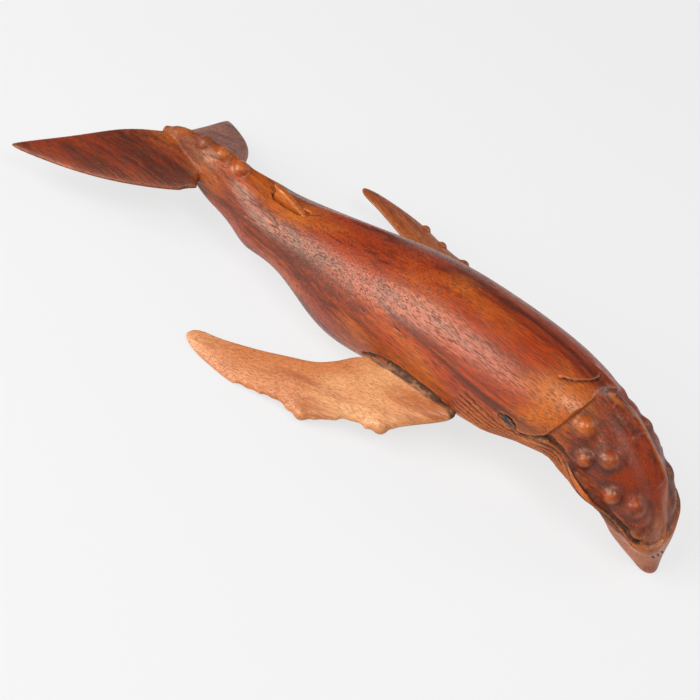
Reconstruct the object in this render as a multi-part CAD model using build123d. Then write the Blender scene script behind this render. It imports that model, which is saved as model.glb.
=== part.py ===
from build123d import *
import math
import os

# A carved wooden humpback whale, lying on its chin and its belly.
# X runs from the tail to the nose, Y to the whale's left and Z up from the table.
# One block makes the head, the trunk and the flukes. The fins are separate carvings,
# let into shallow housings and pegged. The origin ends up in the middle of the flat that is
# sanded under the belly, with the whale's middle plane at Y = 0.

# Driving sizes, in millimetres
body_length = 420.0
body_width = 82.0
body_depth = 86.0
back_height = 100.0
sanded_height = 1.3

fin_length = 159.0
fin_chord = 36.0
fin_thickness = 10.0
fin_knob_size = 8.0
fin_knob_relief = 1.2

tenon_length = 42.0
tenon_thickness = 7.0
tenon_reach = 17.0
housing_depth = 4.0
peg_diameter = 4.0
peg_length = 24.0
peg_gap = 0.1
joint_gap = 0.3

right_fluke_span = 118.0
left_fluke_span = 98.0
fluke_half_chord = 32.0
fluke_thickness = 10.0

dorsal_length = 32.0
dorsal_height = 8.0
dorsal_thickness = 5.0
dorsal_root_depth = 5.0
dorsal_round = 1.6

rostrum_inset = 3.0
ridge_size = 6.0
ridge_relief = 1.8
knob_size = 14.0
knob_relief = 3.2
knuckle_size = 11.0
knuckle_relief = 2.4

eye_length = 13.0
eye_width = 5.0
eye_fall = 8.0
eye_depth = 2.5
eye_relief = 0.9
eye_dome = 20.0
eye_gap = 0.15
blowhole_width = 1.8
blowhole_depth = 1.2
mouth_groove_width = 2.4

# The block's sections from the tail end to the nose. The underside is sanded flat at the sanded
# height, where the head and the belly come to rest. Along is a share of the length, aside of
# half the width, height of the height of the back. Lean is the section's tilt in degrees.
# Width is a share of half the width, upper and lower of half the depth. Square is how far the
# upper half is drawn out to the corners, from an ellipse at 0.
station_shares = [
    # along, aside, height, lean, width, upper, lower, square
    (0.000, -0.195, 0.460, 0, 0.06, 0.07, 0.06, 0.00),
    (0.017, -0.200, 0.470, 0, 0.11, 0.15, 0.11, 0.00),
    (0.040, -0.245, 0.485, 0, 0.16, 0.26, 0.17, 0.00),
    (0.074, -0.315, 0.500, 0, 0.22, 0.34, 0.24, 0.00),
    (0.101, -0.330, 0.490, 0, 0.28, 0.42, 0.34, 0.00),
    (0.143, -0.256, 0.445, 0, 0.36, 0.47, 0.43, 0.00),
    (0.185, -0.170, 0.410, 0, 0.46, 0.50, 0.50, 0.00),
    (0.236, -0.098, 0.390, 0, 0.61, 0.50, 0.57, 0.00),
    (0.330, -0.024, 0.396, 0, 0.77, 0.72, 0.73, 0.00),
    (0.421, 0.000, 0.430, 0, 0.95, 0.91, 1.02, 0.00),
    (0.510, 0.000, 0.520, 0, 1.00, 0.95, 1.01, 0.00),
    (0.600, 0.000, 0.580, 0, 1.00, 0.95, 0.99, 0.00),
    (0.688, 0.000, 0.620, 0, 0.99, 0.90, 0.93, 0.00),
    (0.767, 0.000, 0.630, 6, 0.91, 0.81, 0.81, 0.05),
    (0.836, 0.000, 0.590, 26, 0.80, 0.69, 0.63, 0.18),
    (0.900, 0.000, 0.450, 38, 0.74, 0.58, 0.48, 0.25),
    (0.957, 0.000, 0.260, 44, 0.64, 0.45, 0.36, 0.25),
    (0.980, 0.000, 0.143, 49, 0.48, 0.31, 0.29, 0.15),
    (0.992, 0.000, 0.076, 52, 0.32, 0.20, 0.20, 0.05),
    (1.002, 0.000, 0.034, 54, 0.22, 0.12, 0.14, 0.00),
    (1.008, 0.000, 0.015, 55, 0.10, 0.06, 0.06, 0.00),
]
rostrum_start = 11
side_points = 8
belly_rest_share = 0.421

# The mouth corner, as shares of the length and of the height of the back, and the slopes of the
# mouth line and of the lip behind the rostrum, in degrees
mouth_corner_share = (0.780, 0.705)
mouth_fall = 23.3
lip_lean = 20.0
left_lip_skew = 30.0

# Stations of a fin blade: along the span, then the leading and the trailing edge across it as
# shares of the chord, then the thickness
fin_station_shares = [
    (-0.105, 0.14, 0.05, 0.30),
    (-0.085, 0.24, -0.02, 0.60),
    (-0.050, 0.33, -0.05, 0.85),
    (0.020, 0.47, -0.07, 0.98),
    (0.100, 0.64, -0.14, 1.00),
    (0.190, 0.79, -0.28, 0.95),
    (0.285, 0.81, -0.33, 0.88),
    (0.360, 0.86, -0.29, 0.84),
    (0.455, 0.94, -0.12, 0.80),
    (0.570, 0.83, -0.05, 0.72),
    (0.690, 0.78, -0.01, 0.63),
    (0.800, 0.66, 0.00, 0.55),
    (0.880, 0.51, -0.01, 0.46),
    (0.945, 0.36, -0.04, 0.36),
    (0.985, 0.22, 0.00, 0.24),
    (1.000, 0.13, 0.07, 0.12),
]
# Knobs on the leading edge of a fin: along the span and across it
fin_knob_shares = [(0.155, 0.78), (0.465, 0.95), (0.700, 0.78), (0.270, 0.80), (0.590, 0.82)]

# Stations of a fluke: along the span, then the leading and the trailing edge across it as
# shares of half the root chord, then the thickness
fluke_station_shares = [
    (0.00, -1.00, 0.55, 1.00),
    (0.12, -0.96, 0.66, 0.92),
    (0.25, -0.88, 0.74, 0.80),
    (0.40, -0.74, 0.77, 0.68),
    (0.55, -0.55, 0.69, 0.58),
    (0.70, -0.30, 0.60, 0.48),
    (0.82, -0.06, 0.54, 0.40),
    (0.92, 0.16, 0.49, 0.30),
    (0.98, 0.32, 0.45, 0.20),
    (1.00, 0.40, 0.43, 0.10),
]

# Where each limb sits on the block, the way it points and the way its upper face looks
fin_root_share = (0.612, 0.927, 0.350)
fin_lie = {
    "right": (-1, Vector(-0.917, -0.350, -0.193), Vector(0.0, -0.438, 0.899)),
    "left": (1, Vector(-0.944, 0.288, -0.156), Vector(0.0, 0.208, 0.978)),
}
fluke_root_share = (0.074, -0.317, 0.50)
fluke_lie = {
    "right": (right_fluke_span, Vector(-0.674, -0.710, -0.198), Vector(-0.10, -0.18, 0.977)),
    "left": (left_fluke_span, Vector(-0.206, 0.906, -0.370), Vector(-0.30, 0.30, 0.905)),
}
# The tenon's middle on the fin blade, in shares of the fin's length and chord, and its turn
tenon_middle_share = (0.088, -0.10)
tenon_turn = 15.5
peg_spread_share = 0.28

# Places on the skin of the block: the share of the length and the turn round the section in
# degrees, from 0 at the left flank over 90 at the back to 180 at the right flank
knob_place_shares = [(0.802, 130), (0.833, 159), (0.849, 134), (0.888, 156), (0.912, 131), (0.942, 150)]
knuckle_place_shares = [(0.087, 97), (0.119, 94), (0.153, 94)]
eye_place_share = (0.726, 176)
blowhole_place_shares = [(0.741, 113), (0.760, 104), (0.775, 88), (0.768, 70)]
mouth_groove_place_shares = [(0.779, 168), (0.763, 179), (0.735, 186)]
# The ridge on top of the snout: along the length, then how far it stands out as a share of its relief
ridge_rise_shares = [(0.767, 1.0), (0.836, 1.0), (0.900, 1.0), (0.957, 0.8), (0.986, -1.5)]
dorsal_place_share = (0.252, 96)
# The outline of the dorsal fin, from its front along the crest to its hooked rear tip, as
# shares of its length and height
dorsal_outline_shares = [(0.42, 0.0), (0.12, 0.42), (-0.22, 0.86), (-0.50, 1.0), (-0.40, 0.45), (-0.42, 0.0)]
dorsal_tenon_share = 0.42
dorsal_lean = 4.0


def spot(along, aside, height):
    """A point of the carving from its three shares."""
    return Vector(along * body_length, aside * body_width / 2, height * back_height)


def station_plane(along, aside, height, lean):
    """The plane of one section, whose X axis points to the left and Y axis to the back."""
    tilt = math.radians(lean)
    return Plane(spot(along, aside, height), x_dir=(0, 1, 0),
                 z_dir=(math.cos(tilt), 0, -math.sin(tilt)))


def section_point(station, turn, inset=0.0):
    """A point of one section at a turn in degrees, or drawn in from it by an inset."""
    along, aside, height, lean, width, upper, lower, square = station
    cosine, sine = math.cos(math.radians(turn)), math.sin(math.radians(turn))
    power = 1 - square if sine > 0 else 1
    reach = (upper if sine > 0 else lower) * body_depth / 2 - inset
    sideways = math.copysign(abs(cosine) ** power, cosine) * (width * body_width / 2 - inset)
    upwards = math.copysign(abs(sine) ** power, sine) * reach
    return station_plane(along, aside, height, lean).from_local_coords((sideways, upwards))


def section(station, inset=0.0):
    """One egg-shaped section of the block, or the same one drawn in by an inset.

    Its left and right halves are two curves that meet along the belly and the back.
    """
    sides = []
    for start in (-90, 90):
        turns = [start + step * 180 / side_points for step in range(side_points + 1)]
        tangent = Vector(0, 1 if start < 0 else -1, 0)
        points = [section_point(station, turn, inset) for turn in turns]
        sides.append(Spline(*points, tangents=(tangent, -tangent)))
    return make_face(sides)


def limb_plane(root, span_way, face_way):
    """A limb's own plane: X along its span, Z out of its upper face."""
    return Plane(root, x_dir=span_way, z_dir=face_way)


def blade(plane, stations, length, chord, thickness, side, grow=0.0):
    """A limb lofted through ellipses that stand across its span, grown all round by a gap."""
    slices = []
    for along, leading, trailing, share in stations:
        middle = (leading + trailing) * chord / 2 * side
        half_chord = abs(leading - trailing) * chord / 2 + grow
        half_thickness = share * thickness / 2 + grow
        origin = plane.from_local_coords((along * length, middle))
        slice_plane = Plane(origin, x_dir=-plane.z_dir, z_dir=plane.x_dir)
        slices.append(slice_plane * Ellipse(half_thickness, half_chord))
    return loft(slices)


def station_at(along):
    """The section's numbers at any share of the length, on smooth curves through the stations."""
    last = len(station_shares) - 2
    index = max(i for i in range(1, last) if station_shares[i][0] <= along or i == 1)
    before, start, end, after = station_shares[index - 1:index + 3]
    reach = end[0] - start[0]
    part = (along - start[0]) / reach
    row = []
    for a, b, c, d in zip(before, start, end, after):
        slope_in = (c - a) / (end[0] - before[0]) * reach
        slope_out = (d - b) / (after[0] - start[0]) * reach
        row.append(b + slope_in * part
                   + (3 * (c - b) - 2 * slope_in - slope_out) * part ** 2
                   + (2 * (b - c) + slope_in + slope_out) * part ** 3)
    return row


def skin(along, turn, depth=0.0):
    """A point on the block's skin, or at a depth under it."""
    return section_point(station_at(along), turn, depth)


def tube(path, width):
    """A round bar along a path, to add as a bead or to cut as a groove."""
    return sweep(Plane(path @ 0, z_dir=path % 0) * Circle(width / 2), path=path)


def knobs(places, depth, size):
    """Round knobs on the block, each with the seam of its ball turned into the wood."""
    balls = []
    for along, turn in places:
        at = skin(along, turn, depth)
        inward = skin(along, turn, depth + size) - at
        normal = station_plane(*station_at(along)[:4]).z_dir
        balls.append(Plane(at, x_dir=inward, z_dir=normal) * Sphere(size / 2))
    return balls


def across(places):
    """The same places on the other side of the whale."""
    return [(along, 180 - turn) for along, turn in places]


def rostrum_carving():
    """What is carved away round the rostrum, so that it stands in from the lip and the jaw."""
    rostrum = loft([section(station, rostrum_inset) for station in station_shares[rostrum_start:]])
    corner = (mouth_corner_share[0] * body_length, mouth_corner_share[1] * back_height)
    lip_way = (math.sin(math.radians(lip_lean)), math.cos(math.radians(lip_lean)))
    mouth_way = (math.cos(math.radians(mouth_fall)), -math.sin(math.radians(mouth_fall)))
    lip_end = (corner[0] + lip_way[0] * body_length, corner[1] + lip_way[1] * body_length)
    mouth_end = (corner[0] + mouth_way[0] * body_length, corner[1] + mouth_way[1] * body_length)
    wedge = make_face(Plane.XZ * Polyline(corner, lip_end, mouth_end, close=True))
    skew = math.radians(left_lip_skew)
    left = extrude(wedge, amount=body_width, dir=(math.sin(skew), math.cos(skew), 0))
    right = extrude(wedge, amount=body_width, dir=(0, -1, 0))
    return left + right - rostrum


def fluke(side):
    """One half of the tail, lofted from inside the tail stock to its tip."""
    span, span_way, face_way = fluke_lie[side]
    plane = limb_plane(spot(*fluke_root_share), span_way, face_way)
    back = 1 if plane.y_dir.X < 0 else -1
    return blade(plane, fluke_station_shares, span, fluke_half_chord, fluke_thickness, back)


def dorsal_plane():
    """The upright plane along the back that the dorsal fin stands in, at its foot."""
    tilt = math.radians(dorsal_lean)
    return Plane(skin(*dorsal_place_share), x_dir=(math.cos(tilt), 0, math.sin(tilt)), z_dir=(0, -1, 0))


def dorsal_tenon(gap):
    """The foot of the dorsal fin, or with a gap the slot in the back that it stands in."""
    half_length = dorsal_tenon_share * dorsal_length + gap
    top = dorsal_height / 2 if gap else 0
    foot = make_face(Polyline((-half_length, -dorsal_root_depth), (half_length, -dorsal_root_depth),
                              (half_length, top), (-half_length, top), close=True))
    return extrude(dorsal_plane() * foot, amount=dorsal_thickness / 2 + gap, both=True)


def dorsal_fin():
    """The small hooked fin on the back, with its foot."""
    outline = [(along * dorsal_length, up * dorsal_height) for along, up in dorsal_outline_shares]
    face = make_face(Polyline(*outline, close=True))
    fin = extrude(dorsal_plane() * face, amount=dorsal_thickness / 2, both=True)
    sides = fin.faces().filter_by(Axis.Y)
    crest = [edge for edge in sides.edges() if edge.center().Z > dorsal_plane().origin.Z + dorsal_round]
    return fillet(crest, dorsal_round) + dorsal_tenon(0.0)


def fin_plane(side):
    """The plane of a fin blade, with X along its span and Z out of its upper face."""
    sign, span_way, face_way = fin_lie[side]
    along, aside, height = fin_root_share
    return limb_plane(spot(along, aside * sign, height), span_way, face_way)


def fin_out(plane):
    """The sign that turns the plane's Y axis to the leading edge, away from the body."""
    return -1 if plane.y_dir.Z > 0 else 1


def tenon_plane(side):
    """The plane of the joint: its origin on the housing's floor, Z out of the body."""
    plane = fin_plane(side)
    out = fin_out(plane)
    turn = math.radians(tenon_turn)
    along_way = plane.x_dir * math.cos(turn) - plane.y_dir * out * math.sin(turn)
    out_way = plane.x_dir * math.sin(turn) + plane.y_dir * out * math.cos(turn)
    along, across_share = tenon_middle_share
    middle = plane.from_local_coords((along * fin_length, across_share * fin_chord * out))
    return Plane(middle - out_way * (tenon_reach - housing_depth), x_dir=along_way, z_dir=out_way)


def tenon(side, gap=0.0):
    """The fin's root block, or with a gap the housing in the flank that takes it."""
    outline = SlotOverall(tenon_length + 2 * gap, tenon_thickness + 2 * gap)
    return extrude(tenon_plane(side) * outline, amount=tenon_reach)


def pegs(side, gap=0.0):
    """The two pegs across the joint, or with a gap their bores."""
    plane = tenon_plane(side)
    bars = []
    for end in (1, -1):
        at = plane.from_local_coords((end * peg_spread_share * tenon_length, 0, -peg_length / 2 - gap))
        bar = Cylinder(peg_diameter / 2 + gap, peg_length + 2 * gap,
                       align=(Align.CENTER, Align.CENTER, Align.MIN))
        bars.append(Plane(at, x_dir=plane.x_dir, z_dir=plane.z_dir) * bar)
    return bars


def fin(side, gap=0.0):
    """One pectoral fin: the blade with its knobs and root block."""
    plane = fin_plane(side)
    out = fin_out(plane)
    solid = blade(plane, fin_station_shares, fin_length, fin_chord, fin_thickness, out, gap)
    if gap:
        return solid
    for along, leading in fin_knob_shares:
        at = plane.from_local_coords((along * fin_length, leading * fin_chord * out))
        inward = plane.y_dir * -out
        middle = at + inward * (fin_knob_size / 2 - fin_knob_relief)
        solid += Plane(middle, x_dir=inward, z_dir=plane.z_dir) * Sphere(fin_knob_size / 2)
    return solid + tenon(side)


def eye(side, gap=0.0):
    """A dark almond bead with a domed face, or with a gap the socket that takes it."""
    along, turn = eye_place_share if side == "right" else across([eye_place_share])[0]
    at = skin(along, turn)
    outward = at - skin(along, turn, eye_depth)
    fall = math.radians(eye_fall)
    plane = Plane(at, x_dir=(math.cos(fall), 0, -math.sin(fall)), z_dir=(0, math.copysign(1, outward.Y), 0))
    half_length, half_width = eye_length / 2 + gap, eye_width / 2 + gap
    almond = make_face([ThreePointArc((-half_length, 0), (0, half_width), (half_length, 0)),
                        ThreePointArc((half_length, 0), (0, -half_width), (-half_length, 0))])
    top = eye_depth if gap else eye_relief
    prism = extrude(plane.offset(-eye_depth - gap) * almond, amount=eye_depth + gap + top)
    if gap:
        return prism
    dome = plane.offset(eye_relief - eye_dome)
    return prism & Plane(dome.origin, x_dir=-dome.z_dir, z_dir=dome.x_dir) * Sphere(eye_dome)


def resting(shape):
    """The shape, sanded flat where it meets the table."""
    table = Box(4 * body_length, 4 * body_length, body_length, align=(Align.CENTER, Align.CENTER, Align.MAX))
    return shape - Pos(0, 0, sanded_height) * table


def body():
    """The carved block, with everything cut into it and standing on it."""
    block = resting(loft([section(station) for station in station_shares]))
    block -= rostrum_carving()
    for side in fluke_lie:
        block += fluke(side)
    ridge_depth = rostrum_inset + ridge_size / 2
    block += tube(Spline(*[skin(along, 90, ridge_depth - rise * ridge_relief)
                           for along, rise in ridge_rise_shares]), ridge_size)
    knob_depth = rostrum_inset + knob_size / 2 - knob_relief
    for ball in knobs(knob_place_shares + across(knob_place_shares), knob_depth, knob_size):
        block += ball
    for ball in knobs(knuckle_place_shares, knuckle_size / 2 - knuckle_relief, knuckle_size):
        block += ball
    sink = blowhole_width / 2 - blowhole_depth
    block -= tube(Spline(*[skin(*place, -sink) for place in blowhole_place_shares]), blowhole_width)
    for turned in (list, across):
        groove = [skin(*place) for place in turned(mouth_groove_place_shares)]
        block -= tube(ThreePointArc(*groove), mouth_groove_width)
    block -= dorsal_tenon(joint_gap)
    for side in fin_lie:
        block -= fin(side, joint_gap)
        block -= tenon(side, joint_gap)
        for bore in pegs(side, peg_gap):
            block -= bore
        block -= eye(side, eye_gap)
    return block


nodes = {"body": body(), "dorsal_fin": dorsal_fin()}
for side in fin_lie:
    nodes[side + "_pectoral_fin"] = fin(side) - pegs(side, peg_gap)
    for name, peg in zip(("front", "rear"), pegs(side)):
        nodes[side + "_fin_peg_" + name] = peg
    nodes[side + "_eye"] = eye(side)

home = Pos(-belly_rest_share * body_length, 0, -sanded_height)
os.makedirs("parts", exist_ok=True)
for name, shape in nodes.items():
    export_step(home * shape, "parts/" + name + ".step")
    print(name, round(shape.volume), shape.is_valid)
print("size", Compound(list(nodes.values())).bounding_box().size, "shift", home.position)
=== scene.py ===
import math

import bpy
import numpy as np
from mathutils import Matrix, Vector
from mathutils.kdtree import KDTree


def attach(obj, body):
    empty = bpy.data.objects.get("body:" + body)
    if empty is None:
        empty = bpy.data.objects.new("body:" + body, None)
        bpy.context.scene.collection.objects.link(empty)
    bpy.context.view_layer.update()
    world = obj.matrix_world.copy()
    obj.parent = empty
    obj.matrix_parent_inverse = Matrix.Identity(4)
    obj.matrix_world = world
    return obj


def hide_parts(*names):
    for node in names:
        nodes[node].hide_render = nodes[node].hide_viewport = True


# A carved wooden humpback whale on a pale table. Lengths in the carving and in the wood are
# millimetres in the part's own frame: +X is the nose, -Y the whale's right side, +Z up.
# The camera's distance, the floor and the lamps are in metres.
MM = 0.001

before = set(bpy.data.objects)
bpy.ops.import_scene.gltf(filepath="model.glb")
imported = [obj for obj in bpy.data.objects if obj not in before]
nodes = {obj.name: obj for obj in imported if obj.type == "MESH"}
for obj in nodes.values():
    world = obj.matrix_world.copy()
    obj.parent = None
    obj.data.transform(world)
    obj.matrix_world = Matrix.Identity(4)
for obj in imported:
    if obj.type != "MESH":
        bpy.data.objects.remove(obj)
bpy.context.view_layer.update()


# Camera

lens_length = 85
sensor_width = 36
view_limit = 50
camera_distance = 1.1
camera_target = Vector((3.88, 0, -17.2)) * MM
camera_right = Vector((0.753, 0.589, 0.2935)).normalized()
camera_up = Vector((-0.6125, 0.4634, 0.640))
camera_up = (camera_up - camera_right * camera_up.dot(camera_right)).normalized()
camera_back = camera_right.cross(camera_up)

camera_data = bpy.data.cameras.new("camera")
camera_data.lens = lens_length
camera_data.sensor_width = sensor_width
camera_data.clip_end = view_limit
camera = bpy.data.objects.new("camera", camera_data)
bpy.context.collection.objects.link(camera)
camera_turn = Matrix((camera_right, camera_up, camera_back)).transposed().to_4x4()
camera.matrix_world = Matrix.Translation(camera_target + camera_back * camera_distance) @ camera_turn
bpy.context.scene.camera = camera


# Carving tools

def smooth_step(value):
    value = np.clip(value, 0, 1)
    return value * value * (3 - 2 * value)


def fade_in(value, start, length):
    """0 up to a start and 1 from a length beyond it, with a soft change between."""
    return smooth_step((value - start) / length)


def fade_out(value, end, length):
    """1 until a length before an end and 0 from the end on, with a soft change between."""
    return smooth_step((end - value) / length)


def rows(vertices, name):
    """A vector value of all vertices, one row each."""
    values = np.empty(len(vertices) * 3)
    vertices.foreach_get(name, values)
    return values.reshape(-1, 3)


def apply_modifiers(obj):
    graph = bpy.context.evaluated_depsgraph_get()
    mesh = bpy.data.meshes.new_from_object(obj.evaluated_get(graph))
    obj.modifiers.clear()
    old = obj.data
    obj.data = mesh
    bpy.data.meshes.remove(old)


def smooth_object(obj, rounds, group=""):
    """Rounds of smoothing, all over or by a vertex group."""
    modifier = obj.modifiers.new("soften", "SMOOTH")
    modifier.factor = 0.5
    modifier.iterations = rounds
    modifier.vertex_group = group
    apply_modifiers(obj)


class Carving:
    """A fine copy of a solid, with tools that press grooves in it and raise knobs on it.

    Each vertex has a place, a normal, a shade (how dark it is painted: painted shade in hollows, grooves,
    seams and round the knobs, and the darker tail) and, at the end, a painted highlight (how pale it is
    painted).
    """

    def __init__(self, node, name, slot, voxel, rounds):
        self.obj = bpy.data.objects.new(name, nodes[node].data.copy())
        bpy.context.collection.objects.link(self.obj)
        self.obj.data.materials.clear()
        remesh = self.obj.modifiers.new("remesh", "REMESH")
        remesh.mode = "VOXEL"
        remesh.voxel_size = voxel * MM
        apply_modifiers(self.obj)
        smooth_object(self.obj, rounds)
        self.shade = np.zeros(len(self.obj.data.vertices))
        self.highlight_line = None
        self.read()
        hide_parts(node)
        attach(self.obj, "root")

    def read(self):
        self.places = rows(self.obj.data.vertices, "co") / MM
        self.normals = rows(self.obj.data.vertices, "normal")

    def write(self):
        self.obj.data.vertices.foreach_set("co", (self.places * MM).ravel())
        self.obj.data.update()

    def away(self, place):
        """Each vertex's distance from a place."""
        return np.linalg.norm(self.places - np.array(place), axis=1)

    def darken(self, shade):
        self.shade = np.maximum(self.shade, shade)

    def soften(self, rounds, weights, least=0.01):
        """Rounds of smoothing by a weight for each vertex."""
        self.write()
        group = self.obj.vertex_groups.new(name="soften")
        for index in np.flatnonzero(weights > least):
            group.add([int(index)], float(weights[index]), "REPLACE")
        smooth_object(self.obj, rounds, group.name)
        self.obj.vertex_groups.clear()
        self.read()

    def around(self, places, size, fade):
        """Weights for soften(): 1 within a size of some places, fading out over another length."""
        weights = np.zeros(len(self.places))
        for place in places:
            weights = np.maximum(weights, fade_out(self.away(place), size + fade, fade))
        return weights

    def index_surface(self):
        """Keeps the surface as it is now: later marks and paths are set on it."""
        self.tree = KDTree(len(self.places))
        for index, place in enumerate(self.places):
            self.tree.insert(place, index)
        self.tree.balance()

    def on_surface(self, marks):
        return np.array([self.tree.find(mark)[0] for mark in marks])

    def path(self, marks, step=0.5):
        """A smooth path on the surface through marks."""
        marks = self.on_surface(marks)
        ends = np.vstack([2 * marks[0] - marks[1], marks, 2 * marks[-1] - marks[-2]])
        points = []
        for a, b, c, d in zip(ends, ends[1:], ends[2:], ends[3:]):
            count = max(int(np.linalg.norm(c - b) / step), 2)
            for t in np.arange(count) / count:
                bend = 2 * a - 5 * b + 4 * c - d + t * (3 * (b - c) + d - a)
                points.append(b + 0.5 * t * (c - a + t * bend))
        points.append(marks[-1])
        return self.on_surface(points)

    def near(self, path, reach, batch=4000):
        """The vertices within reach of a path, their distance and their share along it."""
        inside = ((self.places > path.min(0) - reach) & (self.places < path.max(0) + reach)).all(1)
        picks = np.flatnonzero(inside)
        gaps = np.empty(len(picks))
        shares = np.empty(len(picks))
        for start in range(0, len(picks), batch):
            part = picks[start:start + batch]
            away = np.linalg.norm(self.places[part][:, None] - path[None], axis=2)
            gaps[start:start + batch] = away.min(1)
            shares[start:start + batch] = away.argmin(1) / max(len(path) - 1, 1)
        keep = gaps < reach
        return picks[keep], gaps[keep], shares[keep]

    def groove(self, path, width, depth, dark, rim, taper):
        """A groove pressed in along a path, with painted shade in its bottom, and with a raised rim.

        taper gives the shares of the path over which the groove starts and ends.
        """
        reach, rim_away, rim_width, dark_spread = width * 1.1, width * 0.68, width * 0.18, 1.6
        picks, gaps, shares = self.near(path, reach)
        ends = smooth_step(shares / taper[0]) * smooth_step((1 - shares) / taper[1])
        bowl = smooth_step(1 - gaps / (width / 2)) * ends
        edge = np.exp(-((gaps - rim_away) / rim_width) ** 2) * ends
        self.places[picks] += self.normals[picks] * (rim * edge - depth * bowl)[:, None]
        # Painted shade in the groove's bottom.
        self.shade[picks] = np.maximum(self.shade[picks], dark * smooth_step(bowl * dark_spread))

    def knob(self, place, size, rise):
        """A soft round knob."""
        away = self.away(place) / (size / 2)
        self.places += self.normals * (rise * np.clip(1 - away * away, 0, 1) ** 2)[:, None]

    def pull(self, place, size, way):
        """Moves the surface round a place by a vector, fading out to a size."""
        self.places += np.outer(smooth_step(1 - self.away(place) / size), np.array(way))

    def press_root(self, corner, face):
        """Sinks the corner of a fin's root block that would stand out of its blade."""
        inner, outer, fade, sunk, rounds = 9.0, 13.0, 7.0, 0.4, 40
        away = self.away(corner)
        facing = self.normals @ face
        height = (self.places - corner) @ face
        level = np.median(height[(away > inner) & (away < outer) & (facing > 0.8)])
        weight = fade_out(away, outer, fade) * (facing > 0.2)
        self.places -= face * (np.maximum(height - level + sunk, 0) * weight)[:, None]
        self.soften(rounds, weight)

    def paint_relief_light(self, rounds, reach):
        """Paints shade into hollows and a highlight onto ridges, by how far a smoothed copy departs."""
        least, darkest, brightest_highlight = 0.1, 0.85, 0.9
        self.write()
        copy = self.obj.copy()
        copy.data = self.obj.data.copy()
        bpy.context.collection.objects.link(copy)
        smooth_object(copy, rounds)
        smoothed = rows(copy.data.vertices, "co") / MM
        bpy.data.objects.remove(copy)
        self.read()
        fill = ((smoothed - self.places) * self.normals).sum(1) / reach
        self.darken(darkest * np.clip(fill - least, 0, 1))
        self.painted_highlight = np.clip(-fill - least, 0, 1) * (1 - self.shade)
        # A given line, the snout's ridge, gets a painted highlight along it.
        if self.highlight_line:
            line, width = self.highlight_line
            picks, gaps, shares = self.near(line, width)
            self.painted_highlight[picks] = np.maximum(self.painted_highlight[picks], brightest_highlight * smooth_step(1 - gaps / width))

    def done(self, rounds=30, reach=0.9):
        """Paints shade and highlight by the surface's relief, and stores what the wood reads from it."""
        self.paint_relief_light(rounds, reach)
        mesh = self.obj.data
        for name, values in (("painted_highlight", self.painted_highlight), ("shade", self.shade)):
            mesh.attributes.new(name, "FLOAT", "POINT").data.foreach_set("value", values)
        mesh.polygons.foreach_set("use_smooth", [True] * len(mesh.polygons))


def mirrored(marks):
    return [(x, -y, z) for x, y, z in marks]


both_sides = (list, mirrored)


# The body's main shape

def mouth_height(x):
    """The height of the mouth's ledge along the snout, which falls from the mouth's corner."""
    corner_x, corner_z, fall = 150.8, 69.2, 0.4307
    return corner_z - fall * (x - corner_x)


def round_left_back():
    """Gives the left half of the back the roundness of the right half.

    The right half's distance from a middle line is averaged in cells, by the length along
    the trunk and the turn about that line in degrees, and is then read for the left half.
    """
    middle, rear, front, cell, least_turn = 40.0, -20.0, 152.0, 4.0, 5.0
    x, y, z = body.places.T
    turn = np.degrees(np.arctan2(z - middle, y))
    size = np.hypot(y, z - middle)
    trunk = (x > rear) & (x < front) & (turn > least_turn)
    right = trunk & (turn > 90)
    cells = {}
    along = (x[right] // cell).astype(int)
    about = ((180 - turn[right]) // cell).astype(int)
    for i, j, away in zip(along, about, size[right]):
        cells.setdefault((i, j), []).append(away)
    cells = {key: np.mean(values) for key, values in cells.items()}
    fade = fade_in(x, rear, 30.0) * fade_out(x, front, 10.0) * fade_in(turn, 8.0, 25.0)
    for index in np.flatnonzero(trunk & ~right):
        u = x[index] / cell - 0.5
        v = turn[index] / cell - 0.5
        i, j = math.floor(u), math.floor(v)
        corners = [cells.get((i + a, j + b)) for a in (0, 1) for b in (0, 1)]
        if None in corners:
            continue
        u, v = u - i, v - j
        behind = corners[0] * (1 - v) + corners[1] * v
        ahead = corners[2] * (1 - v) + corners[3] * v
        mirror = behind * (1 - u) + ahead * u
        share = 1 + (mirror / size[index] - 1) * fade[index]
        body.places[index, 1] *= share
        body.places[index, 2] = middle + (z[index] - middle) * share


def fair_jaw():
    """Gives the jaw a fair lower line, and makes it slim and its tip narrow."""
    low_line_x = [119, 138, 158, 174, 181, 194, 215, 232]
    low_line_z = [21, 25.5, 34, 27.4, 27, 27, 14, 1.3]
    most_lift, slimmer, fuller, narrower, under_ledge = 8.5, 0.10, 5.0, 0.34, 4.0
    x, y, z = body.places.T
    mouth = mouth_height(x)
    low = np.interp(x, low_line_x, low_line_z)
    lift = most_lift * fade_in(x, 160, 18) * fade_out(x, 214, 22)
    below = np.clip((mouth - under_ledge - z) / (mouth - under_ledge - low), 0, 1)
    body.places[:, 2] += lift * below
    body.places[:, 1] *= 1 - slimmer * lift / most_lift * smooth_step(below * 2)
    far_side = fade_in(x, 168, 40) * fade_out(x, 246, 10) * fade_in(y, 0, 14) * fade_in(z, 14, 20)
    body.places[:, 1] += fuller * far_side
    tip = fade_in(x, 208, 18) * fade_out(z, mouth - 1, 12)
    body.places[:, 1] *= 1 - narrower * tip


def soften_creases():
    """Softens the root of the near fluke and the crease to the left of the back's middle."""
    fluke_root = (-125.0, -34.0, 48.0)
    body.soften(250, body.around([fluke_root], size=7.0, fade=5.0))
    x, y, z = body.places.T
    across = fade_in(y, 1, 6) * fade_out(y, 30, 6)
    along = fade_in(x, -90, 20) * fade_out(x, 150, 8)
    body.soften(40, across * along * (z > 55))


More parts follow.
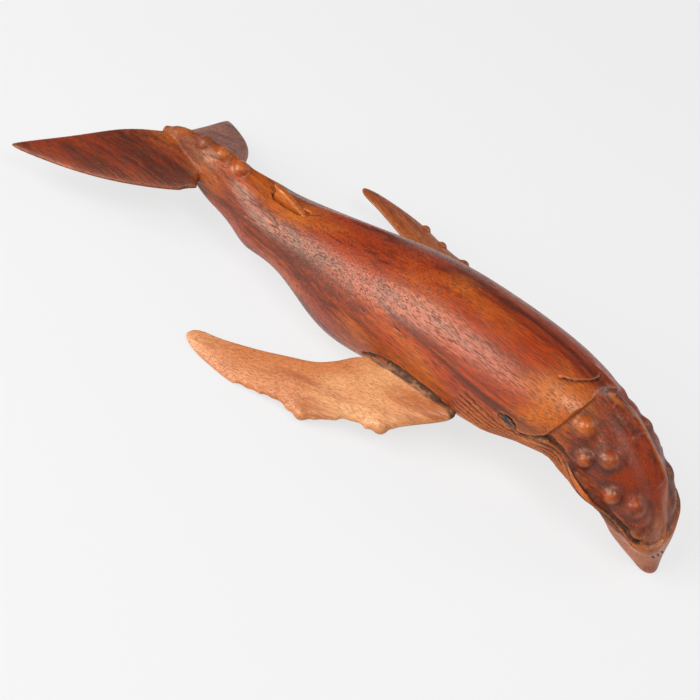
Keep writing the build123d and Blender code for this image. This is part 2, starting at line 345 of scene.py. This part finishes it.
def slim_throat():
    """Draws the throat in before the corner of the mouth, and smooths it and the jaw."""
    for sign in (-1, 1):
        body.pull((142.0, 34.0 * sign, 38.0), size=30.0, way=(0.0, -4.5 * sign, 4.0))
    x, y, z = body.places.T
    top = np.minimum(mouth_height(x), 63.0) - 5.0
    body.soften(300, fade_in(x, 112, 22) * fade_out(x, 238, 8) * fade_out(z, top, 5))


# The snout's ridge and knobs, and the tail's knuckles

ridge = [(165.0, 5.0, 90.8), (174.4, 6.5, 87.0), (186.3, 7.0, 81.3), (196.9, 7.0, 74.7),
         (210.8, 7.5, 64.1), (221.0, 8.0, 53.5), (228.0, 8.0, 45.0)]
near_knobs = [(166.9, -23.7, 85.1), (177.8, -31.5, 68.6), (189.3, -23.2, 75.7),
              (202.6, -29.1, 56.8), (218.2, -20.6, 55.9), (223.4, -17.2, 49.2)]
far_knobs = [(177.0, 24.5, 78.0), (188.0, 31.0, 61.5), (199.5, 23.5, 68.5),
             (211.5, 27.5, 50.0), (225.0, 20.0, 49.5), (230.4, 16.5, 42.0)]
knob_sizes = [23, 18, 25, 19, 23, 16]
knob_rises = [1.9, 1.4, 2.0, 1.5, 1.7, 1.2]


def soften_knobs():
    """Softens the solid's own knobs, so that the wider ones can be set over them."""
    body.soften(45, body.around(near_knobs + mirrored(near_knobs), size=8.0, fade=4.0))


def soften_ridge():
    """Softens the solid's own ridge, which lies in the middle plane."""
    body.soften(120, body.around([(x, 1.0, z) for x, y, z in ridge], size=8.0, fade=5.0))


def raise_ridge():
    """The sharp ridge of the snout, with a painted highlight along its edge."""
    reach, half_width, height, power, highlight_width = 11.0, 9.5, 5.4, 1.1, 4.2
    line = body.path(ridge)
    picks, gaps, shares = body.near(line, reach)
    crest = np.clip(1 - gaps / half_width, 0, 1) ** power
    ends = smooth_step((1 - shares) / 0.3) * smooth_step(shares / 0.25)
    body.places[picks] += body.normals[picks] * (height * crest * ends)[:, None]
    body.highlight_line = (line, highlight_width)


def raise_knobs():
    """Wide feet under the snout's knobs, each with a ring of painted shade round it, in the hollow at its
    foot.
    """
    ring_shade, ring_radius, ring_width = 0.55, 9.0, 3.2
    places = near_knobs + list(body.on_surface(far_knobs))
    for place, size, rise in zip(places, knob_sizes * 2, knob_rises * 2):
        body.knob(place, size, rise)
        body.darken(ring_shade * np.exp(-((body.away(place) - ring_radius) / ring_width) ** 2))


def darken_tail():
    """The end of the tail stock and the flukes are darker than the rest."""
    darkness, front, fade = 0.45, -116.0, 25.0
    body.darken(darkness * fade_out(body.places[:, 0], front, fade))


def raise_knuckles():
    """The knuckles on the tail stock, and one on the root of the flukes."""
    for place in [(-140.4, -13.0, 64.5), (-126.8, -11.5, 65.2), (-112.5, -9.5, 62.5)]:
        body.knob(place, size=19.0, rise=1.6)
    body.knob((-168.0, -12.0, 52.0), size=14.0, rise=1.2)


# The mouth and the pleats of the throat

def mouth_marks():
    """From under the eye to the corner of the mouth, and then along the ledge of the snout."""
    marks = [(133.4, -39.3, 61.0), (139.1, -37.3, 60.0), (145.3, -37.2, 62.4), (150.0, -36.5, 66.0)]
    first, last, spacing, half_length, half_height, least_count = 156.0, 238.0, 6.0, 2.0, 2.5, 4
    x, y, z = body.places.T
    for along in np.arange(first, last, spacing):
        close = (abs(x - along) < half_length) & (abs(z - mouth_height(along)) < half_height)
        ledge = close & (y < 0) & (body.normals[:, 2] > 0.6)
        if ledge.sum() > least_count:
            marks.append(tuple(body.places[ledge].mean(0)))
    return marks


def pleat_marks(mouth):
    """The uppermost pleat: along the throat, and then under the ledge of the snout."""
    marks = [(88.0, -40.6, 61.0), (101.3, -40.4, 60.1), (112.8, -39.9, 59.0), (124.3, -39.3, 57.8),
             (139.2, -38.3, 56.8)]
    ledge = mouth[4:]
    out, down, less_down = 4.0, 5.0, 2.0
    for x, y, z in ledge:
        marks.append((x, y - out, z - down + less_down * fade_in(x, 200, 30)))
    return marks


def next_pleat(line):
    """The marks of the pleat below, nearer to the last one towards the tip of the jaw."""
    every, least_spread, more_spread = 24, 2.6, 1.6
    marks = line[::every]
    moved = []
    for mark, way in zip(marks, np.gradient(marks, axis=0)):
        down = np.cross(way, body.normals[body.tree.find(mark)[1]])
        down /= np.linalg.norm(down)
        down *= 1 if down[2] < 0 else -1
        moved.append(mark + down * (least_spread + more_spread * fade_out(mark[0], 215.0, 70.0)))
    return moved


def carve_mouth():
    """A wide channel from the eye down the jaw, dark with painted shade under the snout's ledge, over the
    fine pleats of the throat.
    """
    pleat_count = 6
    mouth = mouth_marks()
    pleat = pleat_marks(mouth)
    for side in both_sides:
        body.groove(body.path(side(mouth)), width=4.8, depth=1.7, dark=0.95, rim=0.25, taper=(0.08, 0.05))
        marks = side(pleat)
        for count in range(pleat_count):
            line = body.path(marks)
            body.groove(line, width=2.6, depth=1.0, dark=0.8, rim=0.4, taper=(0.12, 0.05))
            marks = next_pleat(line)


# Fine grooves

blowhole = [(134.0, -16.4, 95.0), (142.1, -11.2, 95.0), (149.1, -4.6, 95.3), (152.7, 4.7, 94.7),
            (151.5, 11.0, 94.9)]
lid = [(120.2, -39.9, 64.1), (123.5, -39.2, 65.4), (128.4, -38.6, 65.4), (133.2, -38.5, 63.3),
       (135.4, -39.0, 61.6), (131.5, -38.9, 60.6), (126.8, -38.7, 61.2), (122.4, -39.4, 62.7),
       (120.2, -39.9, 64.1)]
cracks = [((-92.0, -25.4, 46.4), (-88.4, -26.1, 47.1), 1.6),
          ((-71.6, -22.6, 52.4), (-67.4, -23.2, 52.7), 1.5),
          ((-61.6, -24.6, 52.9), (-57.6, -24.8, 52.8), 1.5),
          ((-18.2, -36.4, 41.0), (-13.4, -36.7, 40.0), 1.7),
          ((12.4, -37.2, 58.2), (16.4, -37.6, 58.6), 1.5),
          ((37.0, -37.7, 64.4), (42.6, -38.1, 64.6), 1.5),
          ((47.6, -6.8, 92.8), (52.0, -5.2, 93.0), 1.6)]
crevice = [(24.0, -34.0, 24.8), (34.4, -37.8, 33.2), (45.0, -38.8, 38.0), (55.6, -38.5, 39.4),
           (66.4, -38.0, 39.8), (77.2, -37.5, 40.2), (86.5, -37.2, 40.6), (92.9, -36.6, 40.4)]
slot_edge = [(-88.5, -6.4, 60.0), (-80.0, -8.6, 59.4), (-72.0, -8.4, 60.0), (-62.0, -6.4, 62.4),
             (-54.0, -3.4, 64.0), (-49.0, -1.5, 65.0)]
notch_starts = (240.6, 242.6, 244.6)


# The dark in each of these grooves is painted shade.
def carve_blowhole():
    body.groove(body.path(blowhole), width=1.9, depth=0.9, dark=1.0, rim=0.12, taper=(0.2, 0.1))


def carve_lids():
    """The outline of each eye, dark with painted shade, closed and so without a taper."""
    for side in both_sides:
        body.groove(body.path(side(lid), 0.3), width=1.5, depth=0.5, dark=1.0, rim=0.25,
                    taper=(0.001, 0.001))


def carve_cracks():
    """Short open cracks along the grain of the near side and the back."""
    for start, end, width in cracks:
        body.groove(body.path([start, end], 0.4), width, depth=0.45, dark=0.9, rim=0.0,
                    taper=(0.25, 0.25))


def carve_fin_seams():
    """The crevice over the root of each side fin, and the slit beside the dorsal fin, both dark with
    painted shade.
    """
    for side in both_sides:
        body.groove(body.path(side(crevice)), width=5.6, depth=1.8, dark=1.0, rim=0.2, taper=(0.05, 0.08))
    body.groove(body.path(slot_edge), width=2.4, depth=0.9, dark=1.0, rim=0.1, taper=(0.1, 0.1))


def carve_chin():
    """Three slanting notches on the near side of the chin."""
    length, upper_y, lower_y, upper_z, lower_z = 1.6, -15.0, -8.0, 25.0, 18.0
    for x in notch_starts:
        ahead = x - 240
        ends = [(x, upper_y + ahead * 1.8, upper_z), (x + length, lower_y + ahead * 2.0, lower_z)]
        body.groove(body.path(ends, 0.4), width=2.0, depth=0.8, dark=1.0, rim=0.0, taper=(0.3, 0.3))


body = Carving("body", "whale_body", "body_wood", voxel=0.8, rounds=3)
round_left_back()
fair_jaw()
soften_creases()
soften_knobs()
slim_throat()
soften_ridge()
body.index_surface()
raise_ridge()
raise_knobs()
darken_tail()
raise_knuckles()
carve_mouth()
carve_blowhole()
carve_lids()
carve_cracks()
carve_fin_seams()
carve_chin()
body.done()


# The fins

fin_root = Vector((80.2, 38.0, 33.7))
fin_chord = 36.0
fin_length = 159.0
# Shares of the length and of the chord, for the knobs of the leading edge
lobe_shares = [(0.155, 0.78), (0.465, 0.95)]
small_knob_shares = [(0.700, 0.78), (0.270, 0.80), (0.590, 0.82)]
# How each fin lies: the side's sign in Y, the way of its span and the way that its top faces
fin_lies = {"right": (-1, Vector((-0.917, -0.350, -0.193)), Vector((0.0, -0.438, 0.899))),
            "left": (1, Vector((-0.944, 0.288, -0.156)), Vector((0.0, 0.208, 0.978)))}


def carve_fin(side):
    """Softens a fin's knobs, raises its two lobes and hides the corner of its root block."""
    sign, span_way, face_way = fin_lies[side]
    span_way = span_way.normalized()
    face_way = (face_way - span_way * face_way.dot(span_way)).normalized()
    lead_way = face_way.cross(span_way)
    lead_way *= -1 if lead_way.z > 0 else 1
    root = Vector((fin_root.x, fin_root.y * sign, fin_root.z))

    def on_blade(shares):
        return [root + span_way * a * fin_length + lead_way * b * fin_chord for a, b in shares]

    lobes = on_blade(lobe_shares)
    fin = Carving(side + "_pectoral_fin", side + "_fin", "fin_wood", voxel=0.7, rounds=2)
    fin.soften(160, fin.around(lobes, size=5.0, fade=4.0))
    fin.soften(500, fin.around(on_blade(small_knob_shares), size=5.5, fade=4.0))
    for place in lobes:
        fin.knob(place, size=26.0, rise=2.2)
    fin.press_root(np.array((46.5, 40.2 * sign, 36.0)), np.array(face_way))
    fin.pull((36.0, 47.5 * sign, 31.5), size=20.0, way=(-2.5, -4.5 * sign, 0.6))
    x, y, z = fin.places.T
    inner = np.interp(x, [20, 34, 45, 66, 93], [38.5, 41.0, 41.5, 41.0, 39.5]) - np.abs(y)
    # Painted shade: the fin's inner edge along the body is darkened, as the crevice at its root.
    fin.darken(fade_in(inner, -0.8, 1.6) * (x > 15))
    fin.done(rounds=16, reach=0.6)
    return fin


right_fin = carve_fin("right")
left_fin = carve_fin("left")
dorsal = Carving("dorsal_fin", "back_fin", "body_wood", voxel=0.4, rounds=2)
dorsal.done()


# Materials

def new_material(name):
    material = bpy.data.materials.new(name)
    material.use_nodes = True
    tree = material.node_tree
    return material, tree, tree.nodes["Principled BSDF"]


class Nodes:
    """Short ways to add and join nodes."""

    def __init__(self, tree):
        self.tree = tree

    def add(self, kind, **values):
        node = self.tree.nodes.new(kind)
        for name, value in values.items():
            setattr(node, name, value)
        return node

    def feed(self, socket, value):
        if isinstance(value, bpy.types.NodeSocket):
            self.tree.links.new(value, socket)
        else:
            socket.default_value = value

    def math(self, operation, a, b=0.0, clamp=False):
        node = self.add("ShaderNodeMath", operation=operation, use_clamp=clamp)
        self.feed(node.inputs[0], a)
        self.feed(node.inputs[1], b)
        return node.outputs[0]

    def ramp(self, value, low, high, to_low=0.0, to_high=1.0):
        node = self.add("ShaderNodeMapRange", interpolation_type="SMOOTHSTEP")
        for socket, item in zip(node.inputs, (value, low, high, to_low, to_high)):
            self.feed(socket, item)
        return node.outputs[0]

    def mix(self, part, a, b):
        node = self.add("ShaderNodeMix", data_type="RGBA")
        self.feed(node.inputs[0], part)
        self.feed(node.inputs[6], a)
        self.feed(node.inputs[7], b)
        return node.outputs[2]

    def stretched(self, vector, size, turn=(0.0, 0.0, 0.0), shift=(0.0, 0.0, 0.0)):
        """Coordinates in cells of that size in millimetres, after a turn in degrees."""
        node = self.add("ShaderNodeMapping", vector_type="TEXTURE")
        self.feed(node.inputs["Vector"], vector)
        node.inputs["Location"].default_value = [item * MM for item in shift]
        node.inputs["Rotation"].default_value = [math.radians(item) for item in turn]
        node.inputs["Scale"].default_value = [item * MM for item in size]
        return node.outputs[0]

    def noise(self, vector, detail=2.0, rough=0.5, warp=0.0):
        node = self.add("ShaderNodeTexNoise")
        self.feed(node.inputs["Vector"], vector)
        node.inputs["Scale"].default_value = 1.0
        node.inputs["Detail"].default_value = detail
        node.inputs["Roughness"].default_value = rough
        node.inputs["Distortion"].default_value = warp
        return node.outputs["Fac"]

    def cells(self, vector):
        node = self.add("ShaderNodeTexVoronoi", feature="F1")
        self.feed(node.inputs["Vector"], vector)
        node.inputs["Scale"].default_value = 1.0
        return node.outputs["Distance"]

    def attribute(self, name):
        return self.add("ShaderNodeAttribute", attribute_name=name).outputs["Fac"]


def wood(name, deep, mid, pale, grain=0, pores=1.0, polish=0.27, pore_width=1.0):
    """Polished open-pored wood: bands of colour along the grain, fibres, and dark pores.

    The three colours go from dark to light. grain is the grain's turn away from X, about Z
    and in degrees. Each cell has a length along the grain and two widths across it.
    """
    band_size, streak_size, fibre_size = (260, 18, 18), (90, 2.6, 2.6), (14, 0.55, 0.55)
    cloud_size, patch_size = (80, 45, 45), (13, 7, 7)
    pore_size = (10.0, 0.95 * pore_width, 0.95 * pore_width)
    small_pore_size = (5.5, 0.65 * pore_width, 0.65 * pore_width)
    pore_color = [item * 0.25 for item in deep] + [1]
    # The colour of painted shade, and of the darker tail.
    hollow_color = (0.030, 0.005, 0.003, 1)
    deep, mid, pale = ((*color, 1) for color in (deep, mid, pale))
    turn = (0, 0, grain)

    material, tree, shader = new_material(name)
    n = Nodes(tree)
    place = n.add("ShaderNodeTexCoord").outputs["Object"]
    bands = n.noise(n.stretched(place, band_size, turn, (11, 3, 5)), 3.0, 0.55, 0.6)
    streaks = n.noise(n.stretched(place, streak_size, turn), 3.0, 0.6, 0.2)
    fibres = n.noise(n.stretched(place, fibre_size, turn), 2.0, 0.6)
    clouds = n.noise(n.stretched(place, cloud_size, turn, (3, 1, 8)), 2.0, 0.5)
    tone = n.math("ADD", n.math("MULTIPLY", bands, 0.62), n.math("MULTIPLY", streaks, 0.38))
    color = n.mix(n.ramp(tone, 0.36, 0.56), deep, mid)
    color = n.mix(n.ramp(n.math("ADD", clouds, n.math("MULTIPLY", tone, 0.5)), 0.68, 1.0), color, pale)
    color = n.mix(n.ramp(fibres, 0.40, 0.70, 0.0, 0.45), color, deep)
    color = n.mix(n.ramp(fibres, 0.45, 0.25, 0.0, 0.35), color, pale)
    dashes = n.cells(n.stretched(place, pore_size, turn))
    pore = n.math("MULTIPLY", n.ramp(dashes, 0.24, 0.42, 1.0, 0.0), n.ramp(streaks, 0.30, 0.50))
    small_dashes = n.cells(n.stretched(place, small_pore_size, turn, (7, 2, 1)))
    pore = n.math("MAXIMUM", pore, n.ramp(small_dashes, 0.20, 0.42, 0.6, 0.0))
    color = n.mix(n.math("MULTIPLY", pore, 0.8 * pores), color, pore_color)

    # Pale edges and ridges are painted highlight. The shade attribute darkens toward hollow_color in
    # patches: painted shade in hollows, grooves, seams and round the knobs, and the darker tail.
    color = n.mix(n.math("MULTIPLY", n.attribute("painted_highlight"), 0.85), color, pale)
    patches = n.noise(n.stretched(place, patch_size, turn, (2, 9, 4)), 3.0, 0.6)
    shade = n.math("MULTIPLY", n.attribute("shade"), n.ramp(patches, 0.36, 0.58, 0.55, 1.1), True)
    color = n.mix(n.math("MULTIPLY", shade, 0.92), color, hollow_color)
    n.feed(shader.inputs["Base Color"], color)

    dull = n.math("ADD", n.math("MULTIPLY", pore, 0.25), n.math("MULTIPLY", shade, 0.3))
    sheen = n.ramp(fibres, 0.3, 0.7, polish, polish + 0.1)
    n.feed(shader.inputs["Roughness"], n.math("ADD", dull, sheen))
    shader.inputs["IOR"].default_value = 1.6
    shader.inputs["Specular IOR Level"].default_value = 0.58
    shader.inputs["Specular Tint"].default_value = (1.0, 0.84, 0.66, 1)
    bump = n.add("ShaderNodeBump")
    bump.inputs["Strength"].default_value = 0.5
    bump.inputs["Distance"].default_value = 0.15 * MM
    relief = n.math("SUBTRACT", n.math("MULTIPLY", fibres, 0.25), n.math("MULTIPLY", pore, 0.8))
    n.feed(bump.inputs["Height"], relief)
    n.feed(shader.inputs["Normal"], bump.outputs[0])
    return material


def eye_bead():
    """Polished near-black stuff with a brown cloud in it."""
    black, brown, cell = (0.006, 0.003, 0.002, 1), (0.22, 0.06, 0.02, 1), (4, 1.2, 1.2)
    material, tree, shader = new_material("eye_bead")
    n = Nodes(tree)
    cloud = n.noise(n.stretched(n.add("ShaderNodeTexCoord").outputs["Object"], cell), 2.0)
    n.feed(shader.inputs["Base Color"], n.mix(n.ramp(cloud, 0.5, 0.62), black, brown))
    shader.inputs["Roughness"].default_value = 0.1
    shader.inputs["Coat Weight"].default_value = 0.3
    return material


body_wood = wood("body_wood", (0.09, 0.007, 0.002), (0.38, 0.036, 0.003), (0.60, 0.15, 0.016),
                 pores=0.9, pore_width=0.8)
# The two fins share one wood, in a lit and a shaded copy: the near fin's is paler, painted light on its
# lit top, and the far fin's darker, painted shade on its underside.
fin_wood = wood("fin_wood", (0.36, 0.085, 0.022), (0.60, 0.20, 0.065), (0.78, 0.38, 0.16),
                grain=20, pores=0.6, polish=0.33, pore_width=0.7)
shaded_fin_wood = wood("shaded_fin_wood", (0.16, 0.026, 0.008), (0.42, 0.085, 0.02), (0.6, 0.19, 0.05),
                    grain=-20, pores=0.8)
peg_wood = wood("peg_wood", (0.30, 0.14, 0.06), (0.50, 0.28, 0.13), (0.6, 0.38, 0.2), grain=90)
bead = eye_bead()

body.obj.data.materials.append(body_wood)
dorsal.obj.data.materials.append(body_wood)
right_fin.obj.data.materials.append(fin_wood)
left_fin.obj.data.materials.append(shaded_fin_wood)
for name, node in nodes.items():
    node.data.materials.clear()
    node.data.materials.append(bead if name.endswith("eye") else peg_wood)


# Table, lamps and world

def paper():
    """Pale paper, which camera, glossy and transmission rays see as a near-white background.

    A fifth of it is still lit as paper, so that it keeps the whale's shadow.
    """
    color, seen_color, glow_share = (0.80, 0.80, 0.803, 1), (0.895, 0.895, 0.895, 1), 0.8
    material, tree, shader = new_material("paper")
    shader.inputs["Base Color"].default_value = color
    shader.inputs["Roughness"].default_value = 0.9
    n = Nodes(tree)
    glow = n.add("ShaderNodeEmission")
    glow.inputs["Color"].default_value = seen_color
    rays = n.add("ShaderNodeLightPath").outputs
    seen = n.math("MAXIMUM", rays["Is Camera Ray"], rays["Is Glossy Ray"])
    seen = n.math("MAXIMUM", seen, rays["Is Transmission Ray"])
    blend = n.add("ShaderNodeMixShader")
    n.feed(blend.inputs[0], n.math("MULTIPLY", seen, glow_share))
    n.feed(blend.inputs[1], shader.outputs[0])
    n.feed(blend.inputs[2], glow.outputs[0])
    n.feed(tree.nodes["Material Output"].inputs["Surface"], blend.outputs[0])
    return material


def lamp(name, place, size, power):
    """A round area lamp, turned to the middle of the whale."""
    whale_middle = Vector((0, 0, 0.04))
    data = bpy.data.lights.new(name, "AREA")
    data.shape = "DISK"
    data.size = size
    data.energy = power
    obj = bpy.data.objects.new(name, data)
    bpy.context.collection.objects.link(obj)
    obj.location = place
    obj.rotation_euler = (whale_middle - Vector(place)).to_track_quat("-Z", "Y").to_euler()


half_floor = 6.0
floor_corners = [(-half_floor, -half_floor, 0), (half_floor, -half_floor, 0),
                 (half_floor, half_floor, 0), (-half_floor, half_floor, 0)]
floor_mesh = bpy.data.meshes.new("floor")
floor_mesh.from_pydata(floor_corners, [], [(0, 1, 2, 3)])
floor = bpy.data.objects.new("floor", floor_mesh)
bpy.context.collection.objects.link(floor)
floor.data.materials.append(paper())

lamp("key", (-0.8, -1.15, 1.0), size=1.6, power=37)
lamp("top", (0.6, -0.5, 1.4), size=0.6, power=8)
lamp("back", (1.1, 1.2, 1.0), size=0.9, power=6)
world = bpy.data.worlds.new("studio")
bpy.context.scene.world = world
world.use_nodes = True
background = world.node_tree.nodes["Background"]
background.inputs["Color"].default_value = (1, 1, 1, 1)
background.inputs["Strength"].default_value = 0.15
bpy.context.scene.view_settings.view_transform = "Standard"
